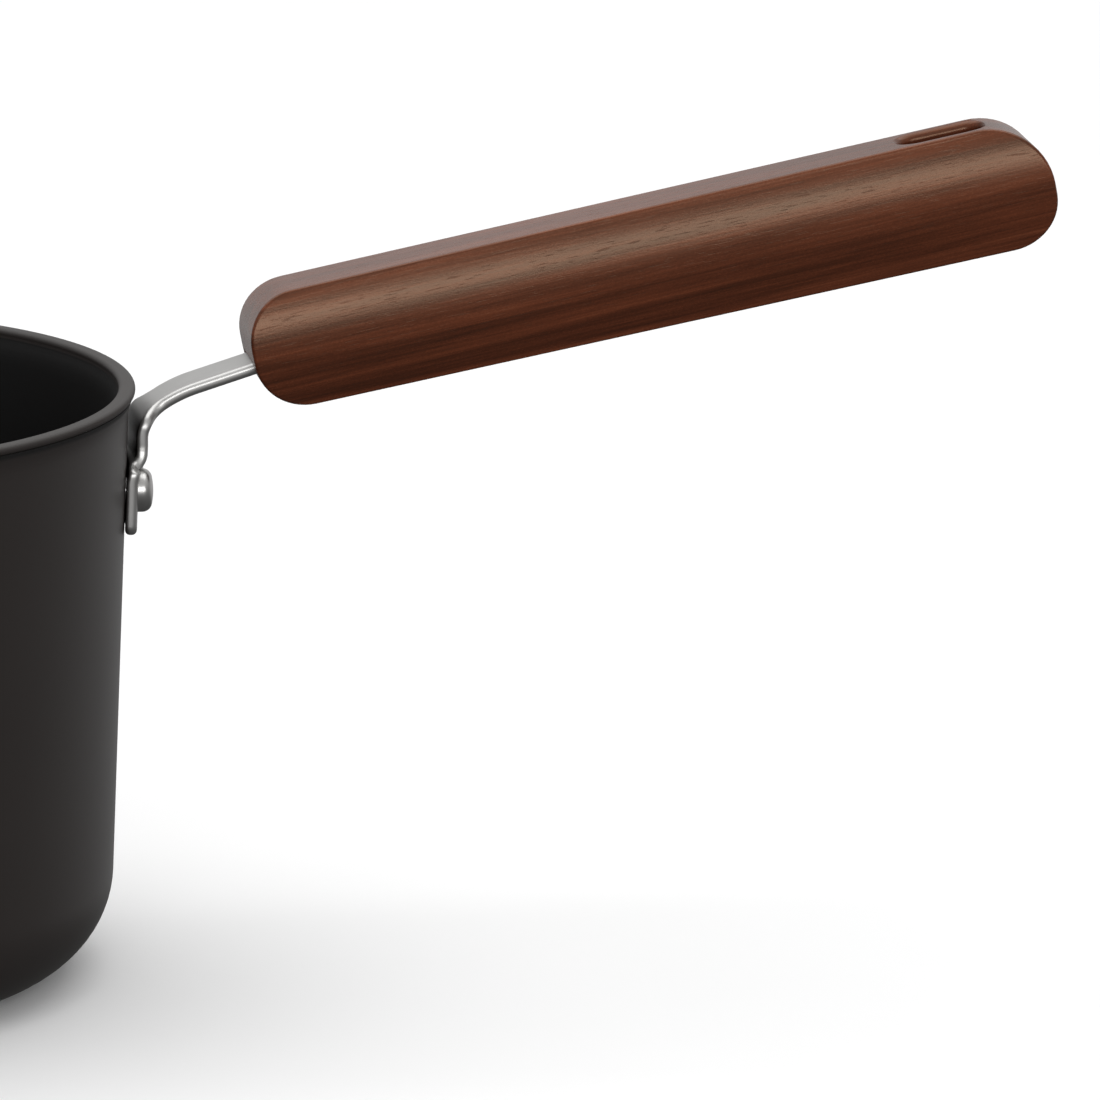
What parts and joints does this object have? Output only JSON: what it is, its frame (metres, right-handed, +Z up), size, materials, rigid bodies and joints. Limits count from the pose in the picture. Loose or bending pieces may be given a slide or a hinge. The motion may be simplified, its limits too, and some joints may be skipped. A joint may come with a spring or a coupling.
{
  "type": "long-handled coffee pot",
  "caption": "Straight-sided black coffee pot with a rolled lip, a riveted steel strap bracket and a long wooden grip that can hang by a slot.",
  "frame": {"origin": "centre of the pot's flat base, on the surface that it stands on", "axes": "+Z up along the pot's axis, +X along the handle away from the pot"},
  "size_m": [0.2419, 0.1094, 0.1176],
  "materials": {
    "dark_anodised": "satin, hard anodised dark grey, nearly black inside",
    "polished_steel": "polished stainless steel with rounded edges",
    "rivet_steel": "polished button heads",
    "walnut": "oiled reddish-brown hardwood, satin",
    "screw_steel": "plain countersunk screw"
  },
  "bodies": {
    "root": {"pot_body": "dark_anodised", "handle_bracket": "polished_steel", "bracket_rivet_1": "rivet_steel", "bracket_rivet_2": "rivet_steel", "handle_grip": "walnut", "grip_screw": "screw_steel"}
  },
  "joints": []
}
